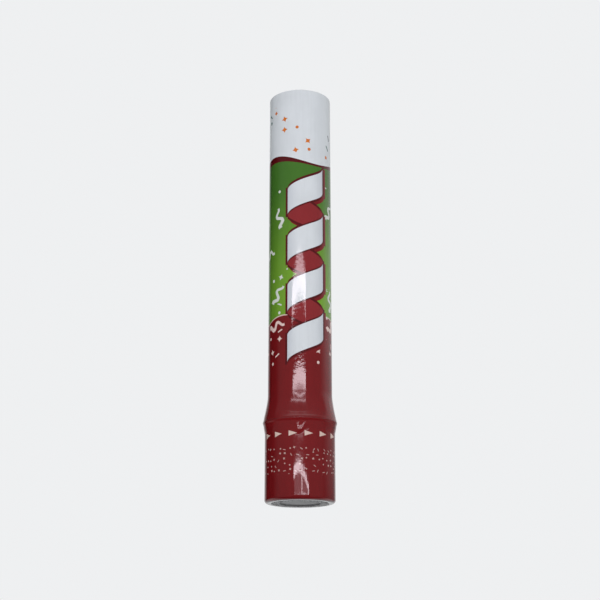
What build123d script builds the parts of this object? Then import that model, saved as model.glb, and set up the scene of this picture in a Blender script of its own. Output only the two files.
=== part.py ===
from build123d import *
from math import cos, radians, sin
import os

os.makedirs("parts", exist_ok=True)

# Twist-action confetti popper: a card tube on a twist base, both sleeved in shrink film.
# A bottle of compressed air stands upside down in the tube. Its bung is held by three jaws,
# and the twist base draws the jaws back with a spiral cam, so that the bung drops and the
# air drives wad, confetti and lid up the tube.
# Millimetres, +Z up along the tube, origin at the centre of the foot of the base.

# Clearances that several fits share
running_gap = 0.3
seat_gap = 0.05
cut_overrun = 1.0

# Card tube and its printed shrink film
total_length = 300.0
tube_radius = 22.15
tube_wall = 1.8
film_thickness = 0.3
film_lip = 1.9
flare_height = 20.5

# Twist base
base_height = 57.0
base_wall = 1.6
base_floor = 2.0
foot_radius = 19.0
foot_recess_radius = 14.0
foot_recess_depth = 0.8
foot_edge_radius = 2.0
rim_reach = 1.1
rim_slope_height = 4.0
rim_band_height = 1.8
rim_top_width = 0.9
snap_reach = 1.0
snap_height = 2.0
snap_slope = 0.5
post_radius = 4.0
post_height = 14.5

# Cam plate and its screws
cam_thickness = 3.0
cam_hole_margin = 1.4
screw_inset = 3.65
screw_radius = 1.25
screw_head_radius = 2.5
screw_length = 11.0
countersink_angle = 90.0
screw_angle_back = 15.0

# Release jaws, their pins and the twist that opens them
jaw_count = 3
twist_angle = 90.0
jaw_travel = 4.5
jaw_width = 8.0
jaw_tail = 4.0
jaw_lip = 2.1
jaw_crown = 0.2
bevel_gap = 0.15
pin_radius = 1.5
pin_depth = 3.6

# Release housing, fixed in the bottom end of the tube
skirt_wall = 3.2
skirt_gap = 0.45
deck_thickness = 3.6
sleeve_height = 14.0
sleeve_wall = 1.45
boss_height = 8.0
boss_wall = 3.0
guide_wall = 1.5
guide_start = 8.5
guide_lift = 0.5
vent_radius = 3.0
vent_spread = 18.0

# Air cylinder, its gasket and the spider that centres it
annulus_gap = 3.35
cylinder_wall = 1.2
cylinder_length = 118.6
neck_radius = 8.0
neck_bore = 5.0
shoulder_rise_share = 1.3
end_round = 8.0
gasket_thickness = 1.9
spider_wall = 1.45
spider_height = 20.0
spider_rise = 4.0
spider_rib_height = 10.0
spider_rib_width = 2.0
spider_rib_count = 6

# Bung and its O-ring
bung_radius = 6.5
bung_tip_radius = 2.5
bung_head_rise = 1.0
bung_stem_length = 5.0
bung_stem_gap = 0.2
ring_section_radius = 0.85
ring_level = 2.2

# Wad, confetti and lid
wad_foam_thickness = 6.0
wad_card_thickness = 1.5
lid_recess = 3.0
lid_card_thickness = 1.5
lid_foil_thickness = 0.2
confetti_tiers = 3
slips_per_bundle = 5
slip_gap = 0.1
bundle_gap = 0.5
slip_fan_angle = 2.0
tier_turn = 50.0
slip_half_width_share = 0.45
bundle_reach_share = 0.74
confetti_colours = ("red", "green", "white", "gold")

# Radii worked out from the tube outwards
tube_bore = tube_radius - tube_wall
film_radius = tube_radius + seat_gap + film_thickness
cup_bore = tube_radius + running_gap
cup_radius = cup_bore + base_wall
rim_radius = cup_radius + rim_reach
cam_radius = cup_bore - seat_gap

# Radii worked out from the tube inwards
skirt_bore = tube_radius - skirt_wall
sleeve_radius = tube_bore - seat_gap
sleeve_bore = sleeve_radius - sleeve_wall
jaw_end = skirt_bore - skirt_gap - jaw_travel
pin_orbit = jaw_end - jaw_tail
socket_radius = neck_radius + seat_gap
boss_radius = socket_radius + boss_wall
cylinder_radius = tube_bore - annulus_gap
slider_radius = tube_bore - running_gap
screw_orbit = cup_bore - screw_inset
slot_width = 2 * (pin_radius + running_gap)
cone_height = bung_radius - bung_tip_radius
cam_hole_radius = bung_tip_radius + jaw_travel - jaw_lip - running_gap + cam_hole_margin
vent_orbit = (boss_radius + sleeve_bore) / 2

# Levels from the foot upwards
film_rebate = film_thickness + 2 * seat_gap
post_top = base_floor + post_height
cam_top = post_top + cam_thickness
jaw_bottom = cam_top + running_gap
cone_bottom = jaw_bottom + jaw_lip
cone_top = cone_bottom + cone_height
jaw_top = cone_top + jaw_crown
deck_bottom = jaw_top + running_gap
mouth_level = deck_bottom + bung_head_rise
tube_seat = deck_bottom + deck_thickness
sleeve_top = tube_seat + sleeve_height
boss_top = tube_seat + boss_height
ledge_level = boss_top + gasket_thickness + 2 * seat_gap
shoulder_top = ledge_level + shoulder_rise_share * (cylinder_radius - boss_radius)
cylinder_top = mouth_level + cylinder_length
spider_top = cylinder_top + spider_rise
spider_bottom = spider_top - spider_height
wad_card_level = spider_top + wad_foam_thickness
confetti_bottom = wad_card_level + wad_card_thickness + running_gap
tube_top = total_length - film_thickness - seat_gap
lid_foil_top = total_length - lid_recess
lid_card_top = lid_foil_top - lid_foil_thickness
lid_bottom = lid_card_top - lid_card_thickness
confetti_top = lid_bottom - running_gap

# Levels of the rim of the base, from its top downwards
rim_round = rim_radius - cup_bore - rim_top_width
rim_band_top = base_height - rim_round
rim_band_bottom = rim_band_top - rim_band_height
rim_start = rim_band_bottom - rim_slope_height
flare_bottom = rim_band_top + running_gap
flare_top = flare_bottom + flare_height
snap_level = (jaw_bottom + deck_bottom) / 2


# Card tube, wound from board and cut square at both ends
with BuildPart() as cardboard_tube:
    with BuildSketch(Plane.XY.offset(tube_seat)):
        Circle(tube_radius)
        Circle(tube_bore, mode=Mode.SUBTRACT)
    extrude(amount=tube_top - tube_seat)


# Upper film: turned in over the tube's end, flared out at the bottom to the rim of the base
film_bore = tube_radius + seat_gap
flare_radius = rim_radius + seat_gap
with BuildPart() as tube_film:
    with BuildSketch(Plane.XZ):
        with BuildLine():
            Polyline(
                (film_radius - film_lip, tube_top + seat_gap),
                (film_bore, tube_top + seat_gap),
                (film_bore, flare_top),
            )
            TangentArc((film_bore, flare_top), (flare_radius, flare_bottom), tangent=(0, -1))
            offset(amount=film_thickness, side=Side.LEFT)
        make_face()
    revolve(axis=Axis.Z)


# Base cup: a moulded cup with a beaded rim, a snap bead inside and posts for the cam plate
with BuildPart() as base_cup:
    with BuildSketch(Plane.XZ):
        with BuildLine():
            Polyline(
                (0, foot_recess_depth),
                (foot_recess_radius, foot_recess_depth),
                (foot_recess_radius, 0),
                (foot_radius, 0),
                (foot_radius, film_rebate),
                (cup_radius - foot_edge_radius, film_rebate),
            )
            RadiusArc(
                (cup_radius - foot_edge_radius, film_rebate),
                (cup_radius, film_rebate + foot_edge_radius),
                -foot_edge_radius,
            )
            Polyline(
                (cup_radius, film_rebate + foot_edge_radius),
                (cup_radius, rim_start),
                (rim_radius, rim_band_bottom),
                (rim_radius, rim_band_top),
            )
            RadiusArc((rim_radius, rim_band_top), (rim_radius - rim_round, base_height), -rim_round)
            Polyline(
                (rim_radius - rim_round, base_height),
                (cup_bore, base_height),
                (cup_bore, snap_level + snap_height / 2 + snap_slope),
                (cup_bore - snap_reach, snap_level + snap_height / 2),
                (cup_bore - snap_reach, snap_level - snap_height / 2),
                (cup_bore, snap_level - snap_height / 2 - snap_slope),
                (cup_bore, foot_recess_depth + base_floor),
                (0, foot_recess_depth + base_floor),
                (0, foot_recess_depth),
            )
        make_face()
    revolve(axis=Axis.Z)
    with BuildSketch(Plane.XY.offset(base_floor)):
        with PolarLocations(screw_orbit, jaw_count, start_angle=-screw_angle_back):
            Circle(post_radius)
        Circle(cup_bore + base_wall / 2, mode=Mode.INTERSECT)
    extrude(amount=post_height)
    with PolarLocations(screw_orbit, jaw_count, start_angle=-screw_angle_back):
        with Locations((0, 0, post_top)):
            Hole(screw_radius + seat_gap, depth=screw_length - cam_thickness + cut_overrun)


# Lower film: shrunk round the base cup, with its edge turned in under the foot
with BuildPart() as base_film:
    with BuildSketch(Plane.XZ):
        with BuildLine():
            lip_level = film_rebate - seat_gap
            skin_radius = cup_radius + seat_gap
            edge_round = foot_edge_radius + seat_gap
            Line((foot_radius + seat_gap, lip_level), (skin_radius - edge_round, lip_level))
            RadiusArc(
                (skin_radius - edge_round, lip_level),
                (skin_radius, lip_level + edge_round),
                -edge_round,
            )
            Polyline(
                (skin_radius, lip_level + edge_round),
                (skin_radius, rim_start),
                (rim_radius + seat_gap, rim_band_bottom),
                (rim_radius + seat_gap, rim_band_top),
            )
            offset(amount=film_thickness, side=Side.RIGHT)
        make_face()
    revolve(axis=Axis.Z)


# Cam plate: a disc with one spiral slot for each jaw pin, screwed to the posts of the base cup
def spiral_point(share):
    """Centre of the slot where the base has turned by this share of its twist."""
    orbit = pin_orbit + jaw_travel * share
    angle = radians(-twist_angle * share)
    return (orbit * cos(angle), orbit * sin(angle))


with BuildPart() as cam_plate:
    with BuildSketch(Plane.XY.offset(post_top)):
        Circle(cam_radius)
        Circle(cam_hole_radius, mode=Mode.SUBTRACT)
        slot_line = ThreePointArc(spiral_point(0), spiral_point(0.5), spiral_point(1), mode=Mode.PRIVATE)
        with PolarLocations(0, jaw_count):
            SlotArc(slot_line, slot_width, mode=Mode.SUBTRACT)
    extrude(amount=cam_thickness)
    with PolarLocations(screw_orbit, jaw_count, start_angle=-screw_angle_back):
        with Locations((0, 0, cam_top)):
            CounterSinkHole(
                screw_radius + seat_gap,
                screw_head_radius + seat_gap,
                counter_sink_angle=countersink_angle,
            )


# Countersunk screws, one for each post
with BuildPart() as cam_plate_screws:
    with BuildSketch(Plane.XY.offset(cam_top)):
        with PolarLocations(screw_orbit, jaw_count, start_angle=-screw_angle_back):
            Circle(screw_head_radius)
    extrude(amount=-(screw_head_radius - screw_radius), taper=countersink_angle / 2)
    with BuildSketch(Plane.XY.offset(cam_top)):
        with PolarLocations(screw_orbit, jaw_count, start_angle=-screw_angle_back):
            Circle(screw_radius)
    extrude(amount=-screw_length)


# Release housing: deck, socket for the cylinder's neck, sleeve in the tube and grooved skirt
groove_reach = snap_reach + running_gap
groove_height = snap_height + 2 * running_gap
with BuildPart() as release_housing:
    with BuildSketch(Plane.XZ):
        with BuildLine():
            Polyline(
                (socket_radius, deck_bottom),
                (skirt_bore, deck_bottom),
                (skirt_bore, jaw_bottom),
                (tube_radius, jaw_bottom),
                (tube_radius, snap_level - groove_height / 2 - snap_slope),
                (tube_radius - groove_reach, snap_level - groove_height / 2),
                (tube_radius - groove_reach, snap_level + groove_height / 2),
                (tube_radius, snap_level + groove_height / 2 + snap_slope),
                (tube_radius, tube_seat - seat_gap),
                (sleeve_radius, tube_seat - seat_gap),
                (sleeve_radius, sleeve_top),
                (sleeve_bore, sleeve_top),
                (sleeve_bore, tube_seat - seat_gap),
                (boss_radius, tube_seat - seat_gap),
                (boss_radius, boss_top),
                (socket_radius, boss_top),
                close=True,
            )
        make_face()
    revolve(axis=Axis.Z)
    guide_offset = jaw_width / 2 + running_gap + guide_wall / 2
    guide_length = skirt_bore + skirt_wall / 2 - guide_start
    with BuildSketch(Plane.XY.offset(jaw_bottom + guide_lift)):
        with PolarLocations(0, jaw_count):
            with Locations((guide_start, -guide_offset), (guide_start, guide_offset)):
                Rectangle(guide_length, guide_wall, align=(Align.MIN, Align.CENTER))
        Circle(skirt_bore + skirt_gap, mode=Mode.INTERSECT)
    extrude(amount=deck_bottom - jaw_bottom - guide_lift)
    between_jaws = 180 / jaw_count
    for side in (-1, 1):
        with PolarLocations(vent_orbit, jaw_count, start_angle=between_jaws + side * vent_spread):
            with Locations((0, 0, tube_seat)):
                Hole(vent_radius, depth=deck_thickness + cut_overrun)


# Release jaws: bevelled blocks that slide outwards from under the bung, each with a steel pin
jaw_tip = bung_tip_radius + bevel_gap
jaw_heel = bung_radius + bevel_gap
with BuildPart() as release_jaw:
    with BuildSketch(Plane.XZ):
        Polygon(
            (jaw_tip, jaw_bottom),
            (jaw_end, jaw_bottom),
            (jaw_end, jaw_top),
            (jaw_heel, jaw_top),
            (jaw_heel, cone_top),
            (jaw_tip, cone_bottom),
            align=None,
        )
    extrude(amount=jaw_width / 2, both=True)
    with Locations(Plane((pin_orbit, 0, jaw_bottom), z_dir=(0, 0, -1))):
        Hole(pin_radius + seat_gap, depth=pin_depth + seat_gap)

with BuildPart() as jaw_pin:
    with BuildSketch(Plane.XY.offset(jaw_bottom + pin_depth)):
        with Locations((pin_orbit, 0)):
            Circle(pin_radius)
    extrude(amount=-(pin_depth + cam_thickness))


# Air cylinder: a drawn bottle, neck down, with a rounded end
round_start = cylinder_top - end_round
bottle_bore = cylinder_radius - cylinder_wall
with BuildPart() as air_cylinder:
    with BuildSketch(Plane.XZ):
        with BuildLine():
            Polyline(
                (neck_bore, mouth_level),
                (neck_radius, mouth_level),
                (neck_radius, ledge_level),
                (boss_radius, ledge_level),
            )
            TangentArc(
                (cylinder_radius, shoulder_top),
                (boss_radius, ledge_level),
                tangent=(0, -1),
            )
            Line((cylinder_radius, shoulder_top), (cylinder_radius, round_start))
            RadiusArc(
                (cylinder_radius, round_start),
                (cylinder_radius - end_round, cylinder_top),
                -end_round,
            )
            Polyline(
                (cylinder_radius - end_round, cylinder_top),
                (0, cylinder_top),
                (0, cylinder_top - cylinder_wall),
                (cylinder_radius - end_round, cylinder_top - cylinder_wall),
            )
            RadiusArc(
                (cylinder_radius - end_round, cylinder_top - cylinder_wall),
                (bottle_bore, round_start),
                end_round - cylinder_wall,
            )
            Line((bottle_bore, round_start), (bottle_bore, shoulder_top))
            TangentArc(
                (bottle_bore, shoulder_top),
                (boss_radius - cylinder_wall, ledge_level + cylinder_wall),
                tangent=(0, -1),
            )
            Polyline(
                (boss_radius - cylinder_wall, ledge_level + cylinder_wall),
                (neck_bore, ledge_level + cylinder_wall),
                (neck_bore, mouth_level),
            )
        make_face()
    revolve(axis=Axis.Z)


# Gasket between the housing's boss and the cylinder's shoulder
with BuildPart() as neck_gasket:
    with BuildSketch(Plane.XY.offset(boss_top + seat_gap)):
        Circle(boss_radius)
        Circle(socket_radius, mode=Mode.SUBTRACT)
    extrude(amount=gasket_thickness)


# Spider: a ring in the tube whose ribs centre the cylinder and whose top carries the wad
with BuildPart() as cylinder_spider:
    spider_radius = tube_bore - seat_gap
    spider_bore = spider_radius - spider_wall
    with BuildSketch(Plane.XY.offset(spider_bottom)):
        Circle(spider_radius)
        Circle(spider_bore, mode=Mode.SUBTRACT)
    extrude(amount=spider_height)
    with BuildSketch(Plane.XY.offset(spider_bottom)):
        with PolarLocations(0, spider_rib_count):
            with Locations((cylinder_radius - cylinder_wall, 0)):
                Rectangle(
                    spider_radius - cylinder_radius,
                    spider_rib_width,
                    align=(Align.MIN, Align.CENTER),
                )
        Circle(cylinder_radius + seat_gap, mode=Mode.SUBTRACT)
    extrude(amount=spider_rib_height)


# Bung: plugs the neck with an O-ring and rests its cone on the jaws
stem_radius = neck_bore - bung_stem_gap
ring_orbit = neck_bore - seat_gap - ring_section_radius
groove_radius = ring_orbit - ring_section_radius - seat_gap
ring_centre = mouth_level + ring_level
ring_groove_half = ring_section_radius + seat_gap
with BuildPart() as cylinder_bung:
    with BuildSketch(Plane.XZ):
        Polygon(
            (0, cone_bottom),
            (bung_tip_radius, cone_bottom),
            (bung_radius, cone_top),
            (bung_radius, mouth_level - seat_gap),
            (stem_radius, mouth_level - seat_gap),
            (stem_radius, ring_centre - ring_groove_half),
            (groove_radius, ring_centre - ring_groove_half),
            (groove_radius, ring_centre + ring_groove_half),
            (stem_radius, ring_centre + ring_groove_half),
            (stem_radius, mouth_level + bung_stem_length),
            (0, mouth_level + bung_stem_length),
            align=None,
        )
    revolve(axis=Axis.Z)

with BuildPart() as bung_o_ring:
    with BuildSketch(Plane.XZ):
        with Locations((ring_orbit, ring_centre)):
            Circle(ring_section_radius)
    revolve(axis=Axis.Z)


# Wad: a foam disc that seals the tube under a card disc
with BuildPart() as wad_foam:
    with BuildSketch(Plane.XY.offset(spider_top)):
        Circle(slider_radius)
    extrude(amount=wad_foam_thickness)

with BuildPart() as wad_card:
    with BuildSketch(Plane.XY.offset(wad_card_level)):
        Circle(slider_radius)
    extrude(amount=wad_card_thickness)


# Lid: a card disc faced with foil, pressed into the tube's mouth
with BuildPart() as lid_card:
    with BuildSketch(Plane.XY.offset(lid_bottom)):
        Circle(slider_radius)
    extrude(amount=lid_card_thickness)

with BuildPart() as lid_foil:
    with BuildSketch(Plane.XY.offset(lid_card_top)):
        Circle(slider_radius)
    extrude(amount=lid_foil_thickness)


# Confetti: bundles of paper slips, one bundle of each colour side by side in each tier
colour_count = len(confetti_colours)
tier_height = (confetti_top - confetti_bottom) / confetti_tiers
slip_width = 2 * slip_half_width_share * slider_radius
bundle_pitch = 2 * bundle_reach_share * slider_radius / colour_count
slip_pitch = (bundle_pitch - bundle_gap) / slips_per_bundle
slip_length = tier_height - running_gap - slip_width * sin(radians(slip_fan_angle))


def confetti_node(colour):
    """All slips of one colour, a bundle in each tier."""
    with BuildPart() as bundles:
        for tier in range(confetti_tiers):
            place = (confetti_colours.index(colour) + tier) % colour_count
            middle = (place - (colour_count - 1) / 2) * bundle_pitch
            tier_plane = Plane(
                (0, 0, confetti_bottom + (tier + 0.5) * tier_height)
            ).rotated((0, 0, tier * tier_turn))
            for slip in range(slips_per_bundle):
                across = middle + (slip - (slips_per_bundle - 1) / 2) * slip_pitch
                fan = slip_fan_angle * (slip % 2 - 0.5)
                with Locations(tier_plane * Location((0, across, 0), (0, fan, 0))):
                    Box(slip_width, slip_pitch - slip_gap, slip_length)
    return bundles


# Write one file for each piece
pieces = {
    "cardboard_tube": cardboard_tube,
    "tube_film": tube_film,
    "base_cup": base_cup,
    "base_film": base_film,
    "cam_plate": cam_plate,
    "cam_plate_screws": cam_plate_screws,
    "release_housing": release_housing,
    "air_cylinder": air_cylinder,
    "neck_gasket": neck_gasket,
    "cylinder_spider": cylinder_spider,
    "cylinder_bung": cylinder_bung,
    "bung_o_ring": bung_o_ring,
    "wad_foam": wad_foam,
    "wad_card": wad_card,
    "lid_card": lid_card,
    "lid_foil": lid_foil,
}
for colour in confetti_colours:
    pieces["confetti_" + colour] = confetti_node(colour)

for name, piece in pieces.items():
    piece.part.label = name
    export_step(piece.part, f"parts/{name}.step")

# Each jaw and its pin stand in their own direction round the bung
for number in range(jaw_count):
    direction = 360 / jaw_count * number
    for name, piece in (("release_jaw", release_jaw), ("jaw_pin", jaw_pin)):
        turned = piece.part.rotate(Axis.Z, direction)
        turned.label = f"{name}_{number + 1}"
        export_step(turned, f"parts/{turned.label}.step")
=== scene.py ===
import math
from functools import partialmethod

import bpy
import numpy as np
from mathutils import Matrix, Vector


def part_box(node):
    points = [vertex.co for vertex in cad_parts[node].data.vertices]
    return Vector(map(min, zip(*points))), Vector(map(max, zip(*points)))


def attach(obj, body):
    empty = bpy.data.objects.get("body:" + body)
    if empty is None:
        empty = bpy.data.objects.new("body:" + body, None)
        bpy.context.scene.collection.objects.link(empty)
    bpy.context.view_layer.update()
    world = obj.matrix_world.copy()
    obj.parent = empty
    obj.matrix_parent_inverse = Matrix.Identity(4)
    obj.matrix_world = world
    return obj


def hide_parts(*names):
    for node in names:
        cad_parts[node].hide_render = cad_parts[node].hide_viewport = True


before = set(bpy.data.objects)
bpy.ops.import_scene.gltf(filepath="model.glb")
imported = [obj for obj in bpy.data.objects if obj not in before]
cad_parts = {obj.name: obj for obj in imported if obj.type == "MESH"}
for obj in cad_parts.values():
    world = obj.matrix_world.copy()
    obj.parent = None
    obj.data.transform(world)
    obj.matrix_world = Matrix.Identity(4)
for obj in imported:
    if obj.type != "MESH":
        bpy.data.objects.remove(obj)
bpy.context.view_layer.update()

# Looks of the confetti popper: two printed film sleeves, paper slips, a foil lid and a foam wad
# stand for their plain solids, and every other piece keeps its solid and gets a finish.
# Metres, +Z up along the tube, the printed front towards -Y.

MM = 0.001
TURN = 2 * math.pi
rng = np.random.default_rng(41)

# Sizes taken from the frame
tube_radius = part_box("cardboard_tube")[1].x
sleeve_low, sleeve_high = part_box("tube_film")
base_low, base_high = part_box("base_film")
foam_low, foam_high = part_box("wad_foam")
foil_low, foil_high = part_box("lid_foil")
sleeve_top = sleeve_high.z
flare_level = sleeve_low.z
bead_radius = base_high.x
bead_top = base_high.z
foot_level = base_low.z
slider_radius = foil_high.x

# Film sleeves
film = 0.3 * MM
film_seat = 0.05 * MM
film_radius = tube_radius + film_seat + film
film_segments = 288
lip_radius = 20.6 * MM
lip_round = 0.9 * MM
lip_dip = 0.1 * MM
lip_margin = 0.6 * MM
flare_height = 20.5 * MM
flare_top = flare_level + flare_height
sag_top = flare_top - 3.6 * MM
waist_depth = 0.016 * MM
waist_reach = 1.5 * MM
hem_radius = bead_radius + 0.05 * MM
hem_curl = 0.3 * MM
hem_low = bead_top + 0.15 * MM
hem_high = bead_top + 1.1 * MM
base_wall_radius = 24.4 * MM
bead_height = 8.4 * MM
bead_fall = 6.6 * MM
ridge_reach = 0.55 * MM
ridge_height = 2.4 * MM
fold_top = 2.9 * MM
fold_middle = 7.4 * MM
fold_end = 11.4 * MM
fold_slope = 0.029
foot_round = 2.3 * MM
foot_lip_radius = 19.2 * MM
seam_half_angle = 2.2 * MM / film_radius
seam_step_angle = 0.4 * MM / film_radius
seam_depth = 0.1 * MM

# Unevenness of the film: where it sets in and how deep it is
drape_rise = 4 * MM
drape_fall = 8 * MM
drape_margin = 2 * MM
drape_depths = (0.12 * MM, 0.05 * MM)
sag_power = 2.5
sag_side_cosine = 0.7
sag_side_fade = 0.26
crease_levels = (1.5 * MM, 4.4 * MM)
crease_wander = 1.1 * MM
crease_reach = 0.4 * MM
crease_depth = 0.1 * MM
gather_height = 4.5 * MM
pleat_depth = 0.05 * MM
tube_dent_depth = 0.014 * MM
base_dent_depth = 0.009 * MM
ridge_dent_depth = 0.025 * MM
pucker_height = 6 * MM
foot_fade = 2 * MM
hem_fade = 2 * MM
ridge_fade = 3 * MM
pucker_depths = (0.006 * MM, 0.003 * MM)
lip_wander = 0.22 * MM
hem_wander = 0.06 * MM
foot_wander = 0.9 * MM

# Folds over the hollow under the base's ridge: degrees from the front, lean, half width in mm, share
BEAD_FOLDS = (
    (-3.2, 0.05, 1.9, 1),
    (8.8, 0.55, 1.5, 0.96),
    (41, -0.2, 1.9, 0.5),
    (-47, 0.3, 2.1, 0.6),
    (128, 0.4, 1.8, 0.8),
    (163, -0.1, 2.3, 0.6),
    (-121, -0.4, 2, 0.9),
)

# Print, by height on the front and by distance round the tube
print_girth = TURN * film_radius
print_repeat = print_girth / 2
band_level = 245.7 * MM
band_swing = 3.8 * MM
band_phase = -2.72
border_width = 3.2 * MM
border_phase = 2.1
scallop_level = 124 * MM
scallop_rise = 4.5 * MM
scallop_count = 4
scallop_phase = 2.62
scallop_line = 0.8 * MM
ribbon_centre = 4.5 * MM
ribbon_start = 113 * MM
ribbon_turns = 4
ribbon_pitch = 36 * MM
ribbon_reach = 13.5 * MM
ribbon_width = 19 * MM
ribbon_outline = 1.6 * MM
ribbon_slant = 0.85
streamer_length = 15 * MM
streamer_stroke = 3.1 * MM
streamer_swing = 1.9 * MM
streamer_wave = 9 * MM
bit_cell = 9 * MM
bit_size = 3 * MM
arrow_level = 44.6 * MM
arrow_length = 5.8 * MM
arrow_height = 3.8 * MM
arrow_count = 14
arrow_shift_share = 0.55
speck_cell = 3.7 * MM
speck_size = 1.3 * MM
speck_low = 17 * MM
speck_high = 36 * MM
bare_edge_level = 0.06 * MM
bare_edge_wander = 0.08 * MM
green_fade = (225 * MM, 150 * MM)
ribbon_shadow = (1.5 * MM, 1.8 * MM)
bits_begin = (185 * MM, 140 * MM)
bits_end = (105 * MM, 85 * MM)
bit_ribbon_room = 3.2 * MM
bit_streamer_room = 1.6 * MM
bit_band_room = 4.5 * MM
band_bit_edge = 5 * MM
band_bit_top = 11 * MM
band_bit_shift = 0.2

# Gloss of the film, by height, and textures
haze_fade = (83 * MM, 60 * MM)
haze_roughness = 0.16
drawn_fade = (82 * MM, 88 * MM)
tube_peel_fade = (76 * MM, 86 * MM)
base_peel_fade = (14 * MM, 24 * MM)
film_refraction = 1.62
noise_roughness = 0.55
cell_unevenness = 0.6

# Small streamers beside the ribbon: distance from the ribbon's line and height in mm, tilt in degrees
SMALL_STREAMERS = (
    (-22, 144, 60),
    (-23.5, 121.5, 16),
    (22.5, 141, 104),
    (24.5, 123, 38),
    (-20.5, 201, 112),
    (21.5, 208, 63),
    (-33, 176, 12),
)

# Inks, as they look in plain light, and two colours of painted shade for the tube's sides
WHITE_INK = (0.65, 0.7, 0.73)
RIBBON_SHADE = (0.44, 0.48, 0.54)
RIBBON_BACK = (0.235, 0.022, 0.026)
DARK_RED_INK = (0.085, 0.005, 0.007)
RED_INK = (0.17, 0.0095, 0.0115)
# Painted shade, not an ink: the red at the tube's sides
RED_SIDE_PAINTED_SHADE = (0.095, 0.003, 0.004)
GREEN_TOP_INK = (0.055, 0.165, 0.022)
GREEN_LOW_INK = (0.175, 0.37, 0.03)
# Painted shade, not an ink: the green at the tube's sides
GREEN_SIDE_PAINTED_SHADE = (0.034, 0.105, 0.016)
CREAM_INK = (0.64, 0.5, 0.44)
SPECK_INK = (0.5, 0.34, 0.31)
PALE_BIT_INK = (0.62, 0.67, 0.62)
WARM_BIT_INK = (0.71, 0.55, 0.51)
ORANGE_INK = (0.6, 0.17, 0.03)
TEAL_INK = (0.022, 0.105, 0.085)
RUST_INK = (0.24, 0.07, 0.03)
SLATE_INK = (0.04, 0.06, 0.08)
BARE_FILM = (0.52, 0.52, 0.52)


class Field:
    """A number or colour that varies over a surface: a node socket that formulas can use."""

    def __init__(self, socket):
        self.tree = socket.id_data
        self.socket = socket

    def math(self, operation, *others):
        node = self.tree.nodes.new("ShaderNodeMath")
        node.operation = operation
        for slot, value in zip(node.inputs, (self, *others)):
            feed(slot, value)
        return Field(node.outputs[0])

    __add__ = __radd__ = partialmethod(math, "ADD")
    __sub__ = partialmethod(math, "SUBTRACT")
    __mul__ = __rmul__ = partialmethod(math, "MULTIPLY")
    __truediv__ = partialmethod(math, "DIVIDE")
    abs = partialmethod(math, "ABSOLUTE")
    sin = partialmethod(math, "SINE")
    cos = partialmethod(math, "COSINE")
    sqrt = partialmethod(math, "SQRT")
    power = partialmethod(math, "POWER")
    min = partialmethod(math, "MINIMUM")
    max = partialmethod(math, "MAXIMUM")
    above = partialmethod(math, "GREATER_THAN")
    below = partialmethod(math, "LESS_THAN")

    def __neg__(self):
        return self * -1.0

    def __rsub__(self, other):
        return -self + other

    def clamp(self):
        node = self.tree.nodes.new("ShaderNodeClamp")
        feed(node.inputs["Value"], self)
        return Field(node.outputs[0])

    def ramp(self, start, end):
        """0 at start, 1 at end, straight between."""
        return ((self - start) / (end - start)).clamp()

    def wrapped(self, period):
        """The value brought into half a period on either side of zero."""
        return (self + period / 2).math("FLOORED_MODULO", period) - period / 2


def feed(slot, value):
    """Links a field to a node's input, or sets the input to a number or a colour's three numbers."""
    if isinstance(value, Field):
        value.tree.links.new(value.socket, slot)
    else:
        slot.default_value = (*value, 1.0) if isinstance(value, tuple) else value


def length(p, q):
    return (p * p + q * q).sqrt()


def inside(distance, softness=0.08 * MM):
    """1 where a signed distance is negative, with a soft edge."""
    return (0.5 - distance / softness).clamp()


def new_material(name, roughness, metallic=0.0):
    """A material and its shader; the caller adds colour and relief."""
    material = bpy.data.materials.new(name)
    material.use_nodes = True
    shader = material.node_tree.nodes["Principled BSDF"]
    feed(shader.inputs["Roughness"], roughness)
    feed(shader.inputs["Metallic"], metallic)
    return material, shader


def parts_of(socket):
    """The three parts of a place or colour, as fields."""
    split = socket.id_data.nodes.new("ShaderNodeSeparateXYZ")
    socket.id_data.links.new(socket, split.inputs[0])
    return [Field(part) for part in split.outputs]


def place(shader, source="Object"):
    """Coordinates of the piece in the row frame, or a direction in the world: three fields."""
    return parts_of(shader.id_data.nodes.new("ShaderNodeTexCoord").outputs[source])


def texture(kind, spot, **settings):
    """A texture's node at a place, which is up to three fields or numbers, the first of them a field."""
    tree = spot[0].tree
    node = tree.nodes.new(kind)
    for name, value in settings.items():
        feed(node.inputs[name], value)
    join = tree.nodes.new("ShaderNodeCombineXYZ")
    for slot, value in zip(join.inputs, spot):
        feed(slot, value)
    tree.links.new(join.outputs[0], node.inputs["Vector"])
    return node


def noise(spot, scale, detail):
    """Smooth noise from 0 to 1, with features of about 1 / scale."""
    node = texture("ShaderNodeTexNoise", spot, Scale=scale, Detail=detail, Roughness=noise_roughness)
    return Field(node.outputs["Fac"])


def cells(spot, scale, feature="F1"):
    """Distance to the nearest cell's point or edge, in cells."""
    node = texture("ShaderNodeTexVoronoi", spot, Scale=scale)
    node.feature = feature
    return Field(node.outputs["Distance"])


def mix(share, first, second):
    """Colour first where share is 0, second where it is 1. A colour is a field or three numbers."""
    node = share.tree.nodes.new("ShaderNodeMix")
    node.data_type = "RGBA"
    for number, value in ((0, share), (6, first), (7, second)):
        feed(node.inputs[number], value)
    return Field(node.outputs[2])


def mix_shaders(share, first, second):
    """The first node's shader where share is 0, the second's where it is 1."""
    node = share.tree.nodes.new("ShaderNodeMixShader")
    for slot, value in zip(node.inputs, (share, Field(first.outputs[0]), Field(second.outputs[0]))):
        feed(slot, value)
    return node


def paint(shader, colour, gloss):
    """Links a colour and a roughness that vary to the shader."""
    feed(shader.inputs["Base Color"], colour)
    feed(shader.inputs["Roughness"], gloss)


def add_relief(shader, height, depth):
    """Bump from a height field of 0 to 1, whose full step is depth in metres."""
    node = height.tree.nodes.new("ShaderNodeBump")
    feed(node.inputs["Distance"], depth)
    feed(node.inputs["Height"], height)
    feed(shader.inputs["Normal"], Field(node.outputs[0]))


# Print on the film


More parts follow.
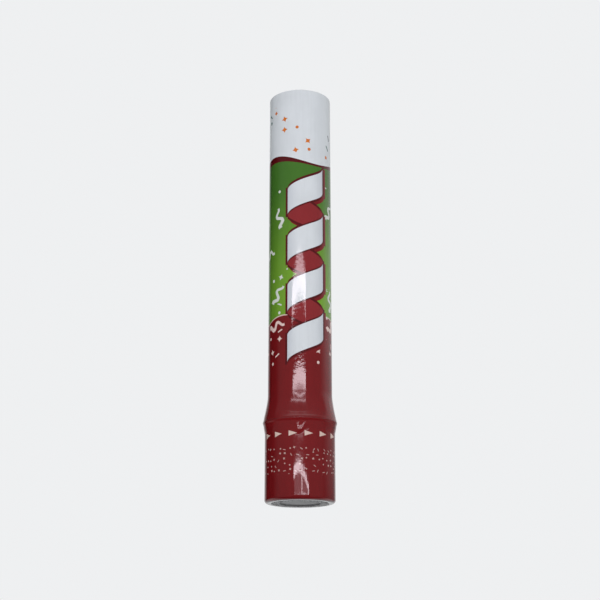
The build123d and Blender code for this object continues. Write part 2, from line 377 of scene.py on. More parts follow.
def print_place(shader):
    """Distance round the tube from the middle of the front, and height, from the sleeve's own map."""
    node = shader.id_data.nodes.new("ShaderNodeUVMap")
    node.uv_map = "wrap"
    across, height, _ = parts_of(node.outputs[0])
    return across * print_girth, height * sleeve_top


def scatter(across, height, cell, size):
    """One mark in each uneven cell: a point's place along and beside its mark, in sizes of the mark,
    and three random numbers of the cell."""
    spot = (across / cell, height / cell)
    node = texture("ShaderNodeTexVoronoi", spot, Scale=1.0, Randomness=cell_unevenness)
    node.voronoi_dimensions = "2D"
    middle_across, middle_height, _ = parts_of(node.outputs["Position"])
    tilt, kind, lot = parts_of(node.outputs["Color"])
    away = across / size - middle_across * (cell / size)
    up = height / size - middle_height * (cell / size)
    cosine = (tilt * TURN).cos()
    sine = (tilt * TURN).sin()
    return away * cosine + up * sine, up * cosine - away * sine, tilt, kind, lot


def paper_bits(across, height, cell, size):
    """Scattered bars, squares, sparks and discs of paper, as a signed distance, and two random numbers."""
    along, aside, tilt, kind, lot = scatter(across, height, cell, size)
    bar = length((along.abs() - 0.55).max(0.0), aside) - 0.17
    square = along.abs().max(aside.abs()) - 0.34
    spark = (along.abs().power(0.6) + aside.abs().power(0.6)) * 0.5 - 0.46
    disc = length(along, aside) - 0.36
    mark = disc
    for level, shape in ((0.78, spark), (0.55, square), (0.36, bar)):
        chosen = kind.below(level)
        mark = mark * (1 - chosen) + shape * chosen
    return mark * size, lot, tilt


def small_streamers(across, height):
    """Wavy paper streamers at the listed places, as one signed distance."""
    nearest = None
    wave = TURN / streamer_wave
    for aside_by, level, tilt in SMALL_STREAMERS:
        cosine = math.cos(math.radians(tilt))
        sine = math.sin(math.radians(tilt))
        away = across - aside_by * MM
        up = height - level * MM
        along = away * cosine + up * sine
        aside = up * cosine - away * sine
        line = (along * wave).sin() * streamer_swing
        slope = (along * wave).cos() * (wave * streamer_swing)
        taper = (along + streamer_length / 2) * 0.05
        stroke = (aside - line).abs() / (slope * slope + 1.0).sqrt() - streamer_stroke / 2 + taper
        mark = stroke.max(along.abs() - streamer_length / 2)
        nearest = mark if nearest is None else nearest.min(mark)
    return nearest


def ribbon(across, height):
    """A paper ribbon wound round an upright line: signed distances to its near and far turns, and how far
    across it a place is, from -1 to 1."""
    share = (across / ribbon_reach).max(-1.0).min(1.0)
    lean = share.math("ARCSINE") * (ribbon_pitch / TURN)
    sides = across.abs() - ribbon_reach
    span = ribbon_pitch * (ribbon_turns - 1)
    middle = ribbon_start + span / 2
    near = (height - lean, ribbon_start, span + ribbon_pitch)
    far = (height + lean, ribbon_start + ribbon_pitch / 2, span)
    marks = []
    for level, start, reach in (near, far):
        ends = (level - middle).abs() - reach / 2
        mark = ((level - start).wrapped(ribbon_pitch).abs() - ribbon_width / 2) * ribbon_slant
        marks.append(mark.max(ends).max(sides))
    return *marks, share


def red_ground_with_painted_shade(lap):
    """Red with painted shade, darker away from the ribbon's line towards the tube's sides, and how far that
    is, from 0 to 1.
    """
    # Painted shade: the ground darkens towards the tube's sides, away from the front
    edge = (lap.abs() / (print_repeat / 2)).power(2.0)
    return mix(edge * 0.6, RED_INK, RED_SIDE_PAINTED_SHADE), edge


def zone_colours(across, height):
    """Ground colours: a white band, green below it and red up to a scalloped line, the green and red with
    painted shade towards the tube's sides. With them come the distance from the ribbon's line, the distance
    below the band, and 1 where the ground is red."""
    lap = (across - ribbon_centre).wrapped(print_repeat)
    turn = across * (TURN / print_repeat)
    wave = (turn + band_phase).sin()
    swell = (turn + border_phase).cos()
    red, edge = red_ground_with_painted_shade(lap)
    green = mix(height.ramp(*green_fade), GREEN_TOP_INK, GREEN_LOW_INK)
    # Painted shade: the green darkens towards the tube's sides too
    green = mix(edge * 0.75, green, GREEN_SIDE_PAINTED_SHADE)
    arches = (across * (math.pi * scallop_count / print_girth) + scallop_phase).sin().abs()
    scallop = height - scallop_level - arches * scallop_rise
    colour = mix(inside(scallop), green, red)
    colour = mix(inside(scallop.abs() - scallop_line / 2), colour, CREAM_INK)
    below_band = band_level + wave * band_swing - height
    border = below_band - (1.0 + swell * 0.5) * border_width
    colour = mix(inside(border), colour, DARK_RED_INK)
    colour = mix(inside(below_band), colour, WHITE_INK)
    return colour, lap, below_band, inside(scallop)


def finish_film(shader, colour, patch_peel, patch_fade, haze=0.0):
    """Gloss of shrunk film: faint mottling of the ink, fine drawn lines, and orange peel that sets in
    with height and is stronger in patches. haze makes it duller."""
    spot = x, y, z = place(shader)
    streaks = noise((x, y, z * 0.05), 600, 2)
    mottle = noise(spot, 60, 4)
    grade = mottle.ramp(0.3, 0.75) * 0.07 + streaks.ramp(0.45, 0.8) * 0.035
    patches = noise(spot, 48, 2).ramp(0.42, 0.6) * z.ramp(*patch_fade)
    gloss = 0.02 + noise(spot, 240, 3) * 0.025 + patches * 0.02 + haze
    paint(shader, mix(grade, colour, (0.0, 0.0, 0.0)), gloss)
    drawn = z.ramp(*drawn_fade) * 0.3
    peel = noise(spot, 450, 2) * (0.03 + (patches * patch_peel).max(drawn))
    dents = noise(spot, 110, 2) * 0.15
    add_relief(shader, peel + dents + streaks * 0.02, 0.07 * MM)
    feed(shader.inputs["IOR"], film_refraction)


def tube_print():
    material, shader = new_material("tube_print", 0.15)
    across, height = print_place(shader)
    colour, lap, below_band, on_red = zone_colours(across, height)
    near, far, share = ribbon(lap, height)
    shade_near, shade_far, _ = ribbon(lap - ribbon_shadow[0], height + ribbon_shadow[1])
    whole = near.min(far)
    shadow = shade_near.min(shade_far)
    wavy = small_streamers(lap, height)
    bit, lot, _ = paper_bits(across, height, bit_cell, bit_size)
    crowd = 0.2 + height.ramp(*bits_begin) * 0.65 - height.ramp(*bits_end) * 0.95
    clear = whole.above(bit_ribbon_room) * wavy.above(bit_streamer_room) * below_band.above(bit_band_room)
    clear *= lot.below(crowd)
    paper = mix(on_red, PALE_BIT_INK, WARM_BIT_INK)
    colour = mix((inside(bit) * clear).max(inside(wavy)), colour, paper)
    speck, speck_lot, tint = paper_bits(across + band_bit_shift, height, bit_cell * 0.95, bit_size * 1.1)
    tinted = ORANGE_INK
    for level, ink in ((0.35, TEAL_INK), (0.6, RUST_INK), (0.8, SLATE_INK)):
        tinted = mix(tint.above(level), tinted, ink)
    on_band = below_band.below(-band_bit_edge) * height.below(sleeve_top - band_bit_top)
    on_band *= speck_lot.below(0.5)
    colour = mix(inside(speck) * on_band, colour, tinted)
    colour = mix(inside(shadow - ribbon_outline), colour, RED_INK)
    colour = mix(inside(whole - ribbon_outline), colour, DARK_RED_INK)
    colour = mix(inside(far), colour, RIBBON_BACK)
    colour = mix(inside(near - ribbon_outline * 0.6), colour, DARK_RED_INK)
    face = mix(share.abs().power(3.0) * 0.6, WHITE_INK, RIBBON_SHADE)
    colour = mix(inside(near), colour, face)
    stretched = height.ramp(*haze_fade) * haze_roughness
    finish_film(shader, colour, 0.4, tube_peel_fade, stretched)
    return material


def base_print():
    material, shader = new_material("base_print", 0.15)
    across, height = print_place(shader)
    lap = (across - ribbon_centre).wrapped(print_repeat)
    # Red ground with painted shade towards the tube's sides
    colour, _ = red_ground_with_painted_shade(lap)
    pitch = print_girth / arrow_count
    reach = arrow_length * film_radius / base_wall_radius
    along = (across - arrow_shift_share * pitch).wrapped(pitch) / reach + 0.5
    point = ((height - arrow_level).abs() / arrow_height - (1 - along) * 0.5).max(-along) * arrow_height
    colour = mix(inside(point), colour, CREAM_INK)
    speck, lot, _ = paper_bits(across, height, speck_cell, speck_size)
    block = height.above(speck_low) * height.below(speck_high) * lot.below(0.85)
    colour = mix(inside(speck) * block, colour, SPECK_INK)
    wander = noise((across,), 180, 2) * bare_edge_wander
    colour = mix(inside(height - wander - bare_edge_level, 0.06 * MM), colour, BARE_FILM)
    finish_film(shader, colour, 0.1, base_peel_fade)
    return material


# Film sleeves


def smooth(share):
    share = np.clip(share, 0.0, 1.0)
    return share * share * (3 - 2 * share)


def wobble(angle, height, turns, rise, count):
    """A seeded smooth field of about -1 to 1 that closes round the tube: count waves, each with up to
    turns crests round it and up to rise crests per metre."""
    total = np.zeros(np.broadcast(angle, height).shape)
    for _ in range(count):
        around = rng.integers(1, turns + 1)
        upward = rng.uniform(-rise, rise)
        phase = rng.uniform(0, TURN)
        total += np.cos(around * angle + TURN * upward * height + phase)
    return total / math.sqrt(count / 2) / 1.6


def arc(centre, radius, start, end, count):
    """Points on an arc in the radius and height plane, from one angle to another in degrees."""
    angle = np.radians(np.linspace(start, end, count))
    return np.stack((centre[0] + radius * np.cos(angle), centre[1] + radius * np.sin(angle)), axis=1)


def straight(first, last, count):
    share = np.linspace(0, 1, count)[:, None]
    return np.array(first) * (1 - share) + np.array(last) * share


def profile_normal(profile):
    """Unit normals of a profile of radius and height rows, to the right of its direction."""
    step = np.gradient(profile, axis=0)
    step /= np.linalg.norm(step, axis=1)[:, None]
    return np.stack((step[:, 1], -step[:, 0]), axis=1)


def turned(radius, height, angle):
    """Points of rows of radii and heights at the given angles, with angle zero at the front."""
    return np.stack((radius * np.sin(angle), -radius * np.cos(angle), height + 0 * angle), axis=-1)


def add_object(name, data):
    item = bpy.data.objects.new(name, data)
    bpy.context.scene.collection.objects.link(item)
    return item


def add_mesh(name, points, faces, maps=()):
    """A smooth mesh object, with its UV maps as pairs of a name and corner places."""
    mesh = bpy.data.meshes.new(name)
    mesh.from_pydata(points.tolist(), [], faces)
    mesh.update()
    for map_name, spots in maps:
        layer = mesh.uv_layers.new(name=map_name)
        layer.data.foreach_set("uv", spots.reshape(-1).astype(np.float32))
    mesh.polygons.foreach_set("use_smooth", np.ones(len(mesh.polygons), bool))
    return add_object(name, mesh)


def film_sleeve(name, profile, relief, wander):
    """A closed sheet turned round Z. profile is its outer face, as rows of radius and height from edge to
    edge; relief lifts it off its face, and wander moves its edges outwards and upwards."""
    rows = len(profile)
    angle = np.linspace(-math.pi, math.pi, film_segments, endpoint=False)[None, :]
    radius = profile[:, 0:1]
    height = profile[:, 1:2]
    normal = profile_normal(profile)
    lift = relief(angle, height, radius)
    outwards, upwards = wander(angle, height, radius)
    skins = []
    for depth in (0.0, film):
        r = radius + outwards + normal[:, 0:1] * (lift - depth)
        z = height + upwards + normal[:, 1:2] * (lift - depth)
        skins.append(turned(r, z, angle))
    points = np.concatenate(skins).reshape(-1, 3)

    # The outer skin's rows, the inner skin's in reverse and the outer skin's first row close the sheet
    loop = np.concatenate((np.arange(rows), np.arange(2 * rows - 1, rows - 1, -1), [0]))
    strip, column = np.meshgrid(np.arange(len(loop) - 1), np.arange(film_segments), indexing="ij")
    corner_strips = np.stack((strip, strip, strip + 1, strip + 1), axis=-1).reshape(-1, 4)
    corner_columns = np.stack((column, column + 1, column + 1, column), axis=-1).reshape(-1, 4)
    faces = loop[corner_strips] * film_segments + corner_columns % film_segments
    turn_share = corner_columns / film_segments
    print_spots = np.stack((turn_share - 0.5, profile[loop[corner_strips] % rows, 1] / sleeve_top), axis=-1)

    # For baking, the outer skin fills most of the map and the inner skin a band below it
    inner_band = 0.06
    walked = np.concatenate(([0.0], np.cumsum(np.linalg.norm(np.diff(profile, axis=0), axis=1))))
    outer_places = inner_band + (1 - inner_band) * walked / walked[-1]
    inner_places = inner_band * 0.8 * walked[::-1] / walked[-1]
    strip_places = np.concatenate((outer_places, inner_places, [0.0]))
    bake_spots = np.stack((turn_share, strip_places[corner_strips]), axis=-1)
    return add_mesh(name, points, faces.tolist(), (("wrap", print_spots), ("OFBake", bake_spots)))


def seam(angle):
    """How far the overlap of the film's seam stands out, up the middle of the back."""
    return smooth((seam_half_angle - np.abs(np.abs(angle) - math.pi)) / seam_step_angle) * seam_depth


def tube_sleeve():
    """The upper sleeve: hem over the bead, flare, straight wall and a lip turned in over the end."""
    rise = np.linspace(1, 0, 58)
    swell = 0.7 * rise**2 + 0.3 * np.sin(math.pi / 2 * rise) ** 2
    drop = flare_top - hem_high
    hem = straight((hem_radius + hem_curl, hem_low), (hem_radius, hem_high), 8)
    flare = np.stack((film_radius + (hem_radius - film_radius) * swell, flare_top - drop * rise), axis=1)
    shoulder = sleeve_top - lip_round
    wall = straight((film_radius, flare_top), (film_radius, shoulder), 64)
    corner = arc((film_radius - lip_round, shoulder), lip_round, 0, 90, 8)
    lip = straight((film_radius - lip_round, sleeve_top), (lip_radius, sleeve_top - lip_dip), 6)
    profile = np.concatenate((hem[:-1], flare, wall[1:], corner[1:], lip[1:]))

    def relief(angle, height, radius):
        drape = smooth((flare_top - drape_margin - height) / drape_fall)
        drape *= smooth((height - hem_high) / drape_rise)
        folds = wobble(angle, height, 15, 18, 14) * drape_depths[0]
        folds += wobble(angle, height, 34, 60, 16) * drape_depths[1]
        in_flare = (height > hem_high) & (height < flare_top)
        sag_rise = np.clip((sag_top - height) / (sag_top - hem_high), 0, 1)
        sag = film_radius + (hem_radius - film_radius) * sag_rise**sag_power - radius
        sag = sag * in_flare * smooth((np.cos(angle) - sag_side_cosine) / sag_side_fade)
        sag = sag - waist_depth * np.exp(-(((height - sag_top) / waist_reach) ** 2))
        crease = 0.0
        for above in crease_levels:
            level = hem_high + above + wobble(angle, 0, 6, 1, 6) * crease_wander
            depth = np.clip(0.5 + 0.6 * wobble(angle, 0, 5, 1, 5), 0, 1) * crease_depth
            crease -= np.exp(-(((height - level) / crease_reach) ** 2)) * depth
        soft_dents = wobble(angle, height, 4, 14, 18) * tube_dent_depth
        gather = smooth((height - (sleeve_top - gather_height)) / gather_height)
        pleats = (wobble(angle, 0, 60, 1, 26) + wobble(angle, height, 28, 40, 12)) * pleat_depth * gather
        return drape * folds + sag + crease + soft_dents * (1 - drape) + pleats + seam(angle)

    def wander(angle, height, radius):
        at_lip = smooth((film_radius - lip_margin - radius) / (film_radius - lip_radius))
        at_hem = smooth((hem_high - height) / (hem_high - hem_low))
        lip_edge = wobble(angle, 0, 22, 1, 12) * lip_wander
        hem_edge = wobble(angle, 0, 11, 1, 9) * hem_wander
        return at_lip * lip_edge, at_hem * hem_edge

    piece = film_sleeve("tube_sleeve", profile, relief, wander)
    piece.data.materials.append(tube_print())
    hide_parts("tube_film")
    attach(piece, "barrel")


def base_sleeve():
    """The lower sleeve: sharp ridge, bead, straight wall and a puckered lip turned in under the foot."""
    drop = np.linspace(0, bead_height, 34)
    bead_reach = hem_radius + hem_curl - ridge_reach - base_wall_radius
    bead_swell = bead_reach * smooth((bead_height - drop) / bead_fall)
    ridge_swell = ridge_reach * smooth(1 - drop / ridge_height)
    bead = np.stack((base_wall_radius + bead_swell + ridge_swell, bead_top - drop), axis=1)
    fold_radius = np.interp(fold_top, drop, bead[:, 0])
    corner_level = foot_level + foot_round
    wall = straight((base_wall_radius, bead_top - bead_height), (base_wall_radius, corner_level), 60)
    lip_start = base_wall_radius - foot_round
    corner = arc((lip_start, corner_level), foot_round, 0, -90, 14)
    lip = straight((lip_start, foot_level), (foot_lip_radius, foot_level), 8)
    profile = np.concatenate((bead, wall[1:], corner[1:], lip[1:]))[::-1]

    def relief(angle, height, radius):
        upright = smooth((radius - lip_start) / foot_round)
        near_foot = smooth((pucker_height - height) / pucker_height) * smooth(height / foot_fade)
        puckers = wobble(angle, 0, 52, 1, 22) * pucker_depths[0]
        puckers = puckers + wobble(angle, height, 24, 60, 14) * pucker_depths[1]
        under_hem = smooth((height - (bead_top - hem_fade)) / hem_fade)
        ridge = smooth((height - (bead_top - bead_height)) / ridge_fade)
        uneven = wobble(angle, height, 9, 40, 12) * ridge_dent_depth
        soft_dents = wobble(angle, height, 5, 25, 18) * base_dent_depth
        below = bead_top - height
        bridge = np.clip(fold_radius - (below - fold_top) * fold_slope - radius, 0, None)
        bridge = bridge * (below > fold_top) * smooth((fold_end - below) / (fold_end - fold_middle))
        folds = 0.0
        for place_angle, lean, half_width, hollow_share in BEAD_FOLDS:
            aside = (angle - math.radians(place_angle)) * base_wall_radius + lean * (below - fold_top)
            folds += np.exp(-((aside / (half_width * MM)) ** 2)) * hollow_share
        lift = ridge * uneven + soft_dents + seam(angle) + bridge * folds
        return near_foot * puckers + lift * (1 - under_hem) * upright

    def wander(angle, height, radius):
        share = smooth((lip_start - radius) / (lip_start - foot_lip_radius))
        return share * (0.5 + 0.5 * wobble(angle, 0, 26, 1, 14)) * foot_wander, 0.0

    piece = film_sleeve("base_sleeve", profile, relief, wander)
    piece.data.materials.append(base_print())
    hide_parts("base_film")
    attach(piece, "twist_base")


# Paper slips

confetti_tiers = 3
tier_wave_count = 4
tier_turn = math.radians(50)
slips_per_bundle = 20
bundle_reach_share = 0.74
slip_half_width_share = 0.45
bundle_gap = 0.5 * MM
slip_thickness = 0.09 * MM
slip_end_room = 0.9 * MM
slip_rows = 15
slip_columns = 6
slip_fan = 1.3
slip_stray = 0.5 * MM
slip_lean = 0.8 * MM
slip_rumple = 0.05 * MM

# Paper colours in their order side by side, each with a darker shade
PAPER_INKS = {
    "red": ((0.4, 0.012, 0.02), (0.3, 0.006, 0.012)),
    "green": ((0.055, 0.24, 0.03), (0.035, 0.17, 0.02)),
    "white": ((0.78, 0.78, 0.75), (0.68, 0.69, 0.68)),
    "gold": ((0.62, 0.36, 0.035), (0.5, 0.27, 0.02)),
}


def tissue_paper(name, colour, shade):
    """Thin coloured paper: cloudy dye, fibres and fine crinkles."""
    material, shader = new_material(name, 0.7)
    spot = x, y, z = place(shader)
    cloud = noise(spot, 180, 4)
    fibres = noise((x, y, z * 0.2), 2600, 2)
    mixed = mix((cloud * 0.6 + fibres * 0.4).ramp(0.35, 0.65), colour, shade)
    paint(shader, mixed, 0.6 + fibres * 0.25)
    crinkles = cells(spot, 320, "DISTANCE_TO_EDGE").ramp(0.0, 0.25)
    add_relief(shader, crinkles * 0.7 + fibres * 0.3, 0.05 * MM)
    return material


def sheet_faces(rows, columns):
    """Faces of a closed sheet, by corner number: front grid, back grid and the edge between."""
    grid = np.arange(rows * columns).reshape(rows, columns)
    front = np.stack((grid[:-1, :-1], grid[:-1, 1:], grid[1:, 1:], grid[1:, :-1]), axis=-1).reshape(-1, 4)
    border = np.concatenate((grid[0, :-1], grid[:-1, -1], grid[-1, :0:-1], grid[:0:-1, 0]))
    after = np.roll(border, -1)
    back = rows * columns
    edge = np.stack((after, border, border + back, after + back), axis=-1)
    return np.concatenate((front, front[:, ::-1] + back, edge))


def tier_lean(x, z, waves):
    """How far the slips of a tier lean out of their plane together, from -1 to 1."""
    total = 0.0
    for across, upward, phase in waves:
        total += np.sin(across * x + upward * z + phase)
    return total / len(waves)


def paper_slips():
    """Bundles of crinkled paper slips, one bundle of each colour side by side in each tier."""
    tier_waves = rng.uniform((-60, 60, 0), (60, 170, TURN), (confetti_tiers, tier_wave_count, 3))
    boxes = [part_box("confetti_" + colour) for colour in PAPER_INKS]
    stack_low = min(low.z for low, _ in boxes)
    stack_high = max(high.z for _, high in boxes)
    tier_height = (stack_high - stack_low) / confetti_tiers
    half_width = slip_half_width_share * slider_radius
    half_length = tier_height / 2 - slip_end_room
    bundle_pitch = 2 * bundle_reach_share * slider_radius / len(PAPER_INKS)
    slip_pitch = (bundle_pitch - bundle_gap) / slips_per_bundle
    columns = np.linspace(-half_width, half_width, slip_columns)
    rows = np.linspace(-half_length, half_length, slip_rows)
    x, z = np.meshgrid(columns, rows)
    faces = sheet_faces(slip_rows, slip_columns)
    corners = 2 * slip_rows * slip_columns
    for number, (colour, inks) in enumerate(PAPER_INKS.items()):
        sheets = []
        for tier, waves in enumerate(tier_waves):
            seat = (number + tier) % len(PAPER_INKS)
            middle = (seat - (len(PAPER_INKS) - 1) / 2) * bundle_pitch
            level = stack_low + (tier + 0.5) * tier_height
            cosine = math.cos(tier * tier_turn)
            sine = math.sin(tier * tier_turn)
            for slip in range(slips_per_bundle):
                fan = math.radians(rng.uniform(-slip_fan, slip_fan))
                own_x = x * math.cos(fan) - z * math.sin(fan) + rng.uniform(-slip_stray, slip_stray)
                own_z = z * math.cos(fan) + x * math.sin(fan) + rng.uniform(-slip_stray, slip_stray)
                lean = tier_lean(own_x, own_z, waves) * slip_lean
                rumple = np.sin(own_z * rng.uniform(300, 700) + rng.uniform(0, TURN)) * slip_rumple
                aside = middle + (slip - (slips_per_bundle - 1) / 2) * slip_pitch + lean + rumple
                for half in (-slip_thickness / 2, slip_thickness / 2):
                    own_y = aside + half
                    spot_x = own_x * cosine - own_y * sine
                    spot_y = own_x * sine + own_y * cosine
                    sheets.append(np.stack((spot_x, spot_y, own_z + level), axis=-1).reshape(-1, 3))
        slips = slips_per_bundle * confetti_tiers
        all_faces = np.concatenate([faces + corners * slip for slip in range(slips)])
        piece = add_mesh(f"paper_slips_{colour}", np.concatenate(sheets), all_faces.tolist())
        piece.data.materials.append(tissue_paper(f"{colour}_paper", *inks))
        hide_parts("confetti_" + colour)
        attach(piece, "confetti")


# Foil lid and foam wad

disc_segments = 144
facet_cell = 4.2 * MM
disc_middle = 3 * MM
foil_rim_fade = 1.5 * MM
foil_crease_depth = 0.035 * MM
foam_edge_round = 0.7 * MM
foam_waist_depth = 0.25 * MM
foam_dent_depth = 0.12 * MM


def turned_piece(name, profile, relief):
    """A solid turned round Z, from the axis out and back to it, with its skin moved outwards by relief."""
    normal = profile_normal(profile)
    angle = np.linspace(-math.pi, math.pi, disc_segments, endpoint=False)[None, :]
    lift = relief(angle, profile[:, 1:2], profile[:, 0:1])
    radius = profile[:, 0:1] + normal[:, 0:1] * lift
    height = profile[:, 1:2] + normal[:, 1:2] * lift
    rings = turned(radius, height, angle)[1:-1].reshape(-1, 3)
    points = np.concatenate((rings, [(0, 0, profile[0, 1]), (0, 0, profile[-1, 1])]))
    ring_count = len(profile) - 2
    row, column = np.meshgrid(np.arange(ring_count - 1), np.arange(disc_segments), indexing="ij")
    after = (column + 1) % disc_segments
    here = row * disc_segments
    above = here + disc_segments
    corners = np.stack((here + column, here + after, above + after, above + column), axis=-1)
    faces = corners.reshape(-1, 4).tolist()
    last = (ring_count - 1) * disc_segments
    bottom = ring_count * disc_segments
    for number in range(disc_segments):
        beside = (number + 1) % disc_segments
        faces.append((number, bottom, beside))
        faces.append((last + number, last + beside, bottom + 1))
    return add_mesh(name, points, faces)


def crinkled_foil():
    """Embossed aluminium foil: facets that each lean their own way, creases and a clouded shine."""
    material, shader = new_material("lid_foil", 0.28, metallic=1.0)
    spot = x, y, z = place(shader)
    stray = noise(spot, 170, 3) * facet_cell
    along, _, _, steepness, _ = scatter(x + stray, y - stray, facet_cell, facet_cell)
    creases = cells(spot, 210, "DISTANCE_TO_EDGE")
    tarnish = noise(spot, 130, 4)
    colour = mix(tarnish.ramp(0.35, 0.7), (0.86, 0.86, 0.87), (0.74, 0.75, 0.77))
    paint(shader, colour, 0.04 + noise(spot, 900, 3) * 0.08)
    add_relief(shader, along * steepness + creases * 0.6, 0.32 * MM)
    return material


def lid_face():
    """The lid's foil face, creased towards its edge."""
    edge_round = (foil_high.z - foil_low.z) / 2
    rim = slider_radius - edge_round
    middle = (foil_low.z + foil_high.z) / 2
    under = straight((0, foil_low.z), (rim, foil_low.z), 26)
    edge = arc((rim, middle), edge_round, -90, 90, 7)
    face = straight((rim, foil_high.z), (0, foil_high.z), 26)
    profile = np.concatenate((under, edge[1:-1], face))

    def relief(angle, height, radius):
        on_top = smooth((height - middle) / edge_round)
        settled = smooth(radius / disc_middle) * smooth((slider_radius - radius) / foil_rim_fade)
        outwards = smooth(radius / slider_radius)
        creases = wobble(angle, radius, 40, 200, 26) * outwards + wobble(angle, radius, 12, 120, 18)
        return creases * foil_crease_depth * on_top * settled

    piece = turned_piece("lid_face", profile, relief)
    piece.data.materials.append(crinkled_foil())
    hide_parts("lid_foil")
    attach(piece, "lid")


def cell_foam():
    """Closed-cell foam: pale walls between shallow cells, with painted shade in the cells' hollows,
    stronger in random patches.
    """
    material, shader = new_material("wad_foam", 0.85)
    spot = place(shader)
    walls = cells(spot, 700, "DISTANCE_TO_EDGE")
    pit_painted_shade = noise(spot, 260, 2).ramp(0.52, 0.7)
    hollow = walls.ramp(0.02, 0.3)
    # Painted shade: the cells' hollows darker than their walls, more so in random patches
    colour = mix(hollow * (0.3 + pit_painted_shade * 0.7), (0.84, 0.84, 0.81), (0.55, 0.55, 0.52))
    paint(shader, colour, 0.75 + hollow * 0.15)
    add_relief(shader, 1 - hollow, 0.18 * MM)
    return material


def foam_disc():
    """The foam disc under the wad's card: die-cut, and a little drawn in round its middle."""
    rim = slider_radius - foam_edge_round
    under = straight((0, foam_low.z), (rim, foam_low.z), 30)
    low_edge = arc((rim, foam_low.z + foam_edge_round), foam_edge_round, -90, 0, 6)
    side_low = (slider_radius, foam_low.z + foam_edge_round)
    side_high = (slider_radius, foam_high.z - foam_edge_round)
    side = straight(side_low, side_high, 14)
    high_edge = arc((rim, foam_high.z - foam_edge_round), foam_edge_round, 0, 90, 6)
    face = straight((rim, foam_high.z), (0, foam_high.z), 30)
    profile = np.concatenate((under, low_edge[1:], side[1:], high_edge[1:], face[1:]))
    half = (foam_high.z - foam_low.z) / 2

    def relief(angle, height, radius):
        on_side = smooth((radius - rim) / foam_edge_round)
        waist = (1 - ((height - foam_low.z - half) / half) ** 2) * foam_waist_depth * on_side
        dents = np.clip(0.5 + 0.5 * wobble(angle, height + radius, 30, 400, 40), 0, 1)
        return -waist - dents * foam_dent_depth * smooth(radius / disc_middle)

    piece = turned_piece("foam_disc", profile, relief)
    piece.data.materials.append(cell_foam())
    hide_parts("wad_foam")
    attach(piece, "wad")


# Finishes of the pieces that keep their solids

board_strip = 72 * MM
board_ply = 0.45 * MM
board_gap = 0.25 * MM
scuff_level = 0.2 * MM
dust_level = 1 * MM


def moulded_plastic(name, colour, shade, roughness):
    """Moulded plastic: cloudy colour, a fine eroded grain and a roughness that follows it."""
    material, shader = new_material(name, roughness)
    spot = place(shader)
    cloud = noise(spot, 90, 4)
    grain = noise(spot, 2600, 2)
    paint(shader, mix(cloud.ramp(0.3, 0.7), colour, shade), roughness - 0.12 + grain * 0.24)
    add_relief(shader, grain * 0.8 + cloud * 0.2, 0.03 * MM)
    return material


def foot_plastic():
    """The base's white plastic, scuffed grey where it stands and dusty in its recess."""
    material, shader = new_material("base_plastic", 0.45)
    spot = x, y, z = place(shader)
    cloud = noise(spot, 110, 4)
    grain = noise(spot, 2600, 2)
    colour = mix(cloud.ramp(0.3, 0.7), (0.8, 0.81, 0.82), (0.7, 0.71, 0.73))
    scratches = noise((x, y * 0.06, z), 900, 3)
    scuffs = scratches.ramp(0.52, 0.62) * z.below(scuff_level)
    dust = noise(spot, 420, 3).ramp(0.5, 0.7) * z.below(dust_level)
    colour = mix(scuffs * 0.55 + dust * 0.25, colour, (0.25, 0.25, 0.26))
    paint(shader, colour, 0.36 + grain * 0.2 + scuffs * 0.2)
    add_relief(shader, grain * 0.6 + scuffs * 0.5, 0.03 * MM)
    return material


def board_fibres(x, y, z):
    """Pulp clouds and long fibres of grey-brown board."""
    cloud = noise((x, y, z), 140, 5)
    fibres = noise((x, y, z * 0.25), 2200, 3)
    return cloud, fibres


def wound_board():
    """The card tube: strips wound in a spiral, with open laps, and layers that show at its end."""
    material, shader = new_material("tube_board", 0.85)
    x, y, z = place(shader)
    cloud, fibres = board_fibres(x, y, z)
    turn = y.math("ARCTAN2", x) / TURN
    lap = (z - turn * board_strip).wrapped(board_strip).abs()
    layer = (length(x, y) / board_ply).math("FRACT")
    at_end = z.above(sleeve_top - film - film_seat - 0.02 * MM)
    ply = (layer - 0.5).abs().ramp(0.38, 0.5) * at_end
    gap = inside(lap - board_gap, 0.2 * MM) * (1 - at_end)
    colour = mix((cloud * 0.6 + fibres * 0.4).ramp(0.35, 0.65), (0.46, 0.37, 0.26), (0.33, 0.25, 0.165))
    colour = mix(gap * 0.75 + ply * 0.6, colour, (0.13, 0.09, 0.055))
    paint(shader, colour, 0.75 + fibres * 0.2)
    add_relief(shader, fibres * 0.25 + cloud * 0.1 + (1 - gap) * 0.6, 0.12 * MM)
    return material


def flat_board(name, colour, shade):
    """A die-cut disc of board, with flecks of darker pulp."""
    material, shader = new_material(name, 0.85)
    x, y, z = place(shader)
    cloud, fibres = board_fibres(x, y, z)
    flecks = cells((x, y, z), 380).below(0.16)
    mixed = mix((cloud * 0.5 + fibres * 0.5).ramp(0.35, 0.65), colour, shade)
    mixed = mix(flecks * 0.5, mixed, (0.16, 0.11, 0.07))
    paint(shader, mixed, 0.75 + fibres * 0.2)
    add_relief(shader, fibres * 0.7 + cloud * 0.3, 0.06 * MM)
    return material


def drawn_metal(name, colour, shade, roughness):
    """Drawn metal: fine lines along Z, and a bloom that clouds its shine."""
    material, shader = new_material(name, roughness, metallic=1.0)
    x, y, z = place(shader)
    lines = noise((x, y, z * 0.03), 1800, 3)
    bloom = noise((x, y, z), 110, 4)
    mixed = mix((lines * 0.5 + bloom * 0.5).ramp(0.35, 0.65), colour, shade)
    paint(shader, mixed, roughness - 0.1 + lines * 0.12 + bloom.ramp(0.4, 0.7) * 0.12)
    add_relief(shader, lines, 0.015 * MM)
    return material


